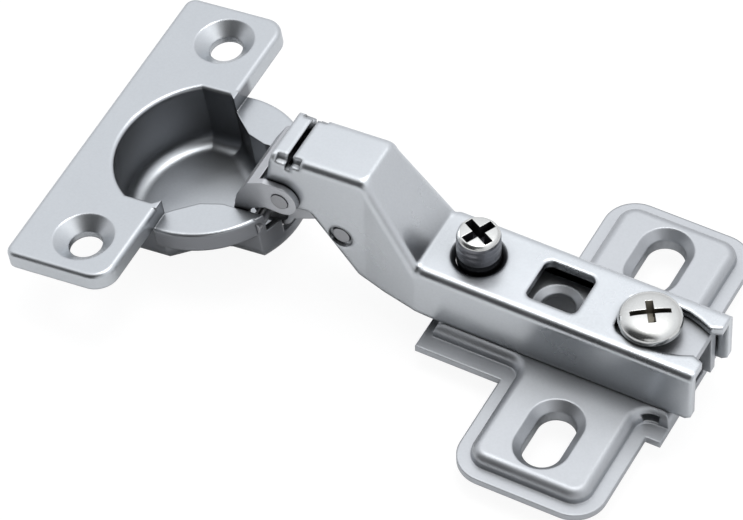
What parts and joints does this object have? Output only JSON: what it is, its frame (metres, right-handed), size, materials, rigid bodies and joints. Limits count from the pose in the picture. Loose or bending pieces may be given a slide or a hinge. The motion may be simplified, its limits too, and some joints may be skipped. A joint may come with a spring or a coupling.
{
  "type": "cranked hinge",
  "caption": "Cranked concealed hinge: round cup with a screw flange, two links, a cranked arm with adjusting and fixing screws, and a slotted mounting plate.",
  "frame": {"origin": "centre of the two slots of the mounting plate, on the plate's underside", "axes": "+Z out of the panel that the plate is screwed to, +X from the cup towards the arm's rear end, +Y along the pins"},
  "size_m": [0.0897, 0.0508, 0.0239],
  "materials": {
    "nickel_steel": "satin nickel plate on pressed steel",
    "link_steel": "satin",
    "pin_steel": "turned",
    "screw_steel": "bright plated",
    "spring_steel": "drawn wire"
  },
  "bodies": {
    "plate": {"mounting_plate": "nickel_steel"},
    "clamp_screw": {"fixing_screw": "screw_steel"},
    "arm_body": {"arm": "nickel_steel", "arm_pin_front": "pin_steel", "arm_pin_rear": "pin_steel", "closing_spring": "spring_steel"},
    "adjuster": {"side_screw": "screw_steel"},
    "outer_link": {"front_link": "link_steel"},
    "inner_link": {"rear_link": "link_steel"},
    "cup": {"hinge_cup": "nickel_steel", "cup_pin": "pin_steel", "cup_rivets": "pin_steel"}
  },
  "joints": [
    {"name": "arm_slide", "type": "slide", "parent": "plate", "child": "arm_body", "axis": [1, 0, 0], "range_m": [-0.0015, 0.0015]},
    {"name": "fixing_screw_turn", "type": "hinge", "parent": "plate", "child": "clamp_screw", "pos_m": [0.00634, 0, 0.0115], "axis": [0, 0, 1], "continuous": true},
    {"name": "side_screw_turn", "type": "hinge", "parent": "arm_body", "child": "adjuster", "pos_m": [-0.01815, 0, 0.0115], "axis": [0, 0, 1], "continuous": true},
    {"name": "front_link_swing", "type": "hinge", "parent": "arm_body", "child": "outer_link", "pos_m": [-0.04425, 0, 0.01406], "axis": [0, 1, 0], "range_deg": [-18.3, 0.1]},
    {"name": "cup_swing", "type": "hinge", "parent": "outer_link", "child": "cup", "pos_m": [-0.04953, 0, 0.00585], "axis": [0, 1, 0], "range_deg": [0, 116.64]},
    {"name": "rear_link_swing", "type": "hinge", "parent": "arm_body", "child": "inner_link", "pos_m": [-0.03599, 0, 0.01027], "axis": [0, 1, 0], "range_deg": [-35, 0.1]}
  ],
  "couplings": [
    {"joint": "front_link_swing", "follows": "cup_swing", "ratio": -0.15555},
    {"joint": "rear_link_swing", "follows": "cup_swing", "ratio": -0.29843}
  ]
}
